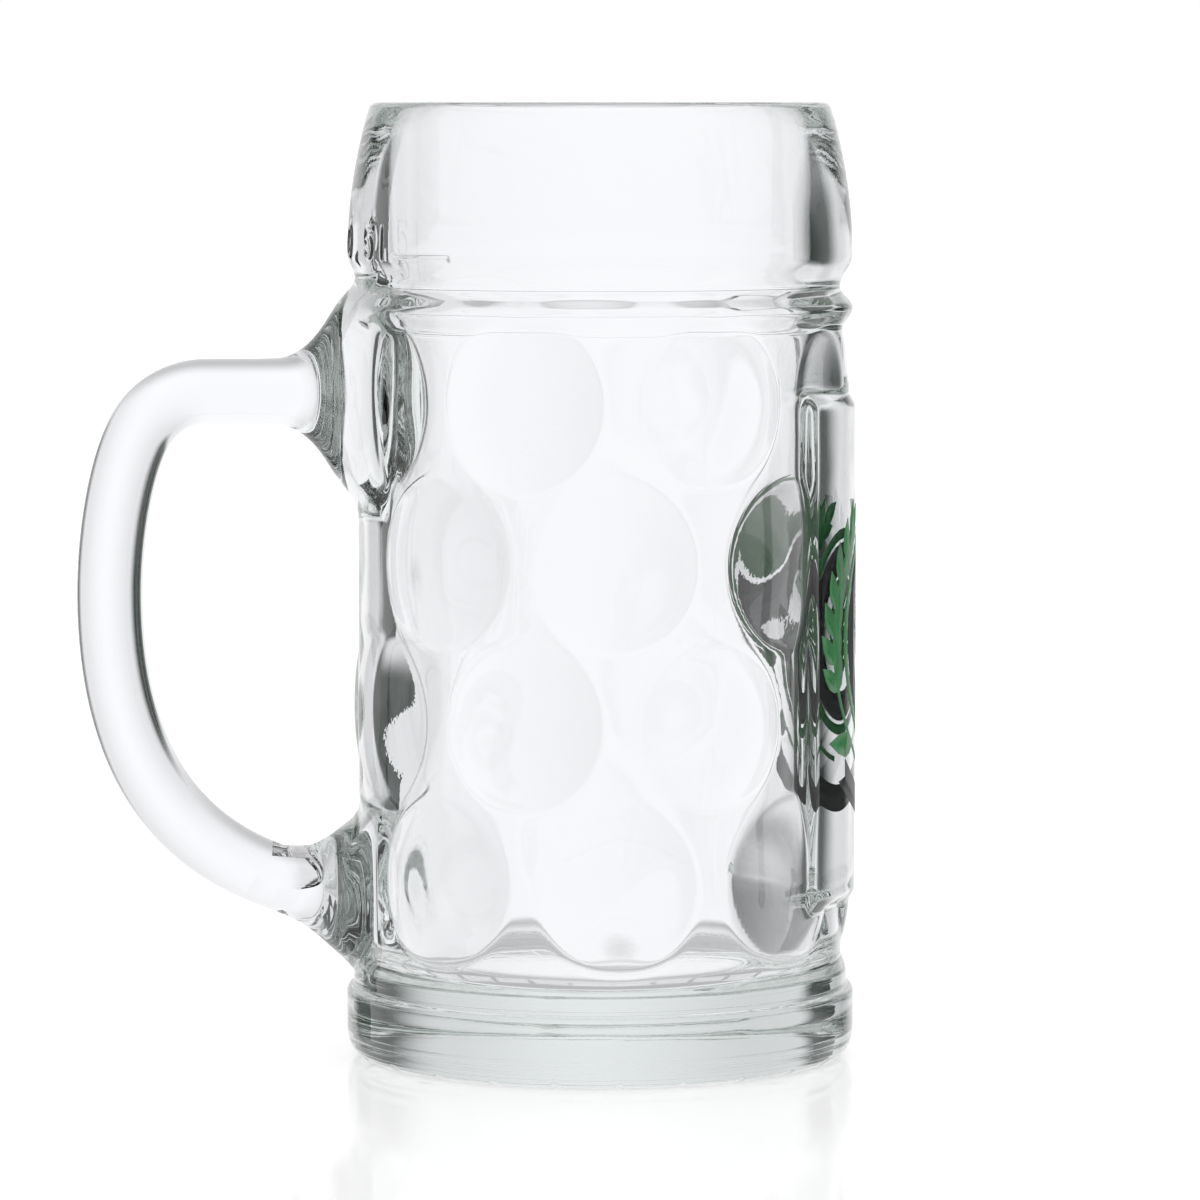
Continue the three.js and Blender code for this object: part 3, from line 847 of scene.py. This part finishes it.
def card_material(side):
    """Dark with soft edges where the glass shows it, and clear for the eye."""
    material, nodes, links = new_material("dark_card")
    shader = nodes["Principled BSDF"]
    shader.inputs["Base Color"].default_value = CARD_COLOUR
    shader.inputs["Roughness"].default_value = 1.0
    coordinates = nodes.new("ShaderNodeTexCoord")
    parts = nodes.new("ShaderNodeSeparateXYZ")
    links.new(coordinates.outputs["Object"], parts.inputs["Vector"])
    inner, soft_side = CARD_INNER[side], CARD_SOFT_SIDE[side]
    bright_side = AXIS_X + side * (inner - soft_side) * MM
    dark_side = AXIS_X + side * (inner + soft_side) * MM
    shade = soft_edge(nodes, links, parts.outputs["X"], bright_side, dark_side)
    for end, soft in ((CARD_TOP, -CARD_SOFT_END), (CARD_FOOT, CARD_SOFT_END)):
        edge = soft_edge(nodes, links, parts.outputs["Z"], (end - soft) * MM, (end + soft) * MM)
        shade = times(nodes, links, shade, edge)
    shade = times(nodes, links, shade, seen_in_glass(nodes, links))
    clear = nodes.new("ShaderNodeBsdfTransparent")
    mix = nodes.new("ShaderNodeMixShader")
    links.new(shade, mix.inputs[0])
    links.new(clear.outputs[0], mix.inputs[1])
    links.new(shader.outputs[0], mix.inputs[2])
    links.new(mix.outputs[0], nodes["Material Output"].inputs["Surface"])
    return material


def make_card(side):
    """One upright card behind the mug, to its left for side -1 or its right for side 1."""
    bm = bmesh.new()
    near = CARD_INNER[side] - CARD_SOFT_SIDE[side]
    low, high = CARD_FOOT - CARD_SOFT_END, CARD_TOP + CARD_SOFT_END
    for vertex in bmesh.ops.create_grid(bm, x_segments=1, y_segments=1, size=0.5)["verts"]:
        across = near + (vertex.co.x + 0.5) * (CARD_OUTER[side] - near)
        height = low + (vertex.co.y + 0.5) * (high - low)
        vertex.co = Vector((AXIS_X + side * across * MM, CARD_DEPTH * MM, height * MM))
    card = finished("card_left" if side < 0 else "card_right", bm)
    card.data.materials.append(card_material(side))


make_card(-1)
make_card(1)

# Studio: white for the eye, and in the glass a wall lit from its middle, a bright ceiling,
# a shaded table and a dim front, each by its turn or rise in degrees
WALL_MIDDLE = 6.0
WALL_COLOUR = (0.97, 0.97, 1.0, 1.0)
WALL_LIGHT = 1.05
SIDE_FULL = 32.0
SIDE_LIGHT = 0.82
CEILING_START = 25.0
CEILING_FULL = 50.0
CEILING_LIGHT = 1.05
TABLE_START = -20.0
TABLE_FULL = -42.0
TABLE_LIGHT = 0.5
FRONT_START = 95.0
FRONT_FULL = 130.0
FRONT_LIGHT = 0.8


def make_world():
    """Light from all round, by its direction and by whether it is seen in the glass."""
    world = bpy.data.worlds.new("studio")
    bpy.context.scene.world = world
    world.use_nodes = True
    nodes, links = world.node_tree.nodes, world.node_tree.links
    nodes.clear()
    out = nodes.new("ShaderNodeOutputWorld")
    background = nodes.new("ShaderNodeBackground")
    links.new(background.outputs["Background"], out.inputs["Surface"])
    coordinates = nodes.new("ShaderNodeTexCoord")
    parts = nodes.new("ShaderNodeSeparateXYZ")
    links.new(coordinates.outputs["Generated"], parts.inputs["Vector"])

    def math_node(kind, *values):
        """Result of one sum on the given values."""
        node = nodes.new("ShaderNodeMath")
        node.operation = kind
        for socket, value in zip(node.inputs, values):
            links.new(value, socket)
        return node.outputs[0]

    def toward(light, target, share):
        """Goes over from the light to the target, which it reaches where share is 1."""
        node = nodes.new("ShaderNodeMix")
        links.new(share, node.inputs["Factor"])
        for label, value in (("A", light), ("B", target)):
            if isinstance(value, float):
                node.inputs[label].default_value = value
            else:
                links.new(value, node.inputs[label])
        return node.outputs["Result"]

    turn = math_node("DEGREES", math_node("ARCTAN2", parts.outputs["X"], parts.outputs["Y"]))
    rise = math_node("DEGREES", math_node("ARCSINE", parts.outputs["Z"]))
    front = soft_edge(nodes, links, math_node("ABSOLUTE", turn), FRONT_START, FRONT_FULL)
    path = nodes.new("ShaderNodeLightPath")
    left = soft_edge(nodes, links, turn, WALL_MIDDLE, WALL_MIDDLE - SIDE_FULL)
    right = soft_edge(nodes, links, turn, WALL_MIDDLE, WALL_MIDDLE + SIDE_FULL)
    light = toward(WALL_LIGHT, SIDE_LIGHT, math_node("MAXIMUM", left, right))
    light = toward(light, TABLE_LIGHT, soft_edge(nodes, links, rise, TABLE_START, TABLE_FULL))
    light = toward(toward(1.0, light, path.outputs["Is Transmission Ray"]), FRONT_LIGHT, front)
    light = toward(light, CEILING_LIGHT, soft_edge(nodes, links, rise, CEILING_START, CEILING_FULL))
    light = toward(1.0, light, seen_in_glass(nodes, links))
    links.new(light, background.inputs["Strength"])
    colour = nodes.new("ShaderNodeMix")
    colour.data_type = "RGBA"
    links.new(path.outputs["Is Transmission Ray"], colour.inputs["Factor"])
    colour.inputs["A"].default_value = WHITE
    colour.inputs["B"].default_value = WALL_COLOUR
    links.new(colour.outputs["Result"], background.inputs["Color"])


make_world()

# Camera at the height of the lip, a little left of square on
CAMERA_DISTANCE = 1075.0
CAMERA_AZIMUTH = math.radians(-4.5)
CAMERA_AIM_HEIGHT = 79.0
CAMERA_LENS = 186.7
SENSOR_WIDTH = 36.0


def make_camera():
    """Camera aimed at the mug's axis."""
    data = bpy.data.cameras.new("camera")
    data.lens = CAMERA_LENS
    data.sensor_width = SENSOR_WIDTH
    camera = bpy.data.objects.new("camera", data)
    bpy.context.scene.collection.objects.link(camera)
    camera.location = place(CAMERA_DISTANCE, CAMERA_AZIMUTH - math.pi / 2, HEIGHT)
    aim = place(0.0, 0.0, CAMERA_AIM_HEIGHT) - camera.location
    camera.rotation_euler = aim.to_track_quat("-Z", "Y").to_euler()
    bpy.context.scene.camera = camera


make_camera()

# Light passes many glass surfaces before it leaves the mug
GLASS_BOUNCES = 32
GLOSSY_BOUNCES = 16
scene = bpy.context.scene
scene.view_settings.view_transform = "Standard"
scene.cycles.max_bounces = GLASS_BOUNCES
scene.cycles.transmission_bounces = GLASS_BOUNCES
scene.cycles.glossy_bounces = GLOSSY_BOUNCES
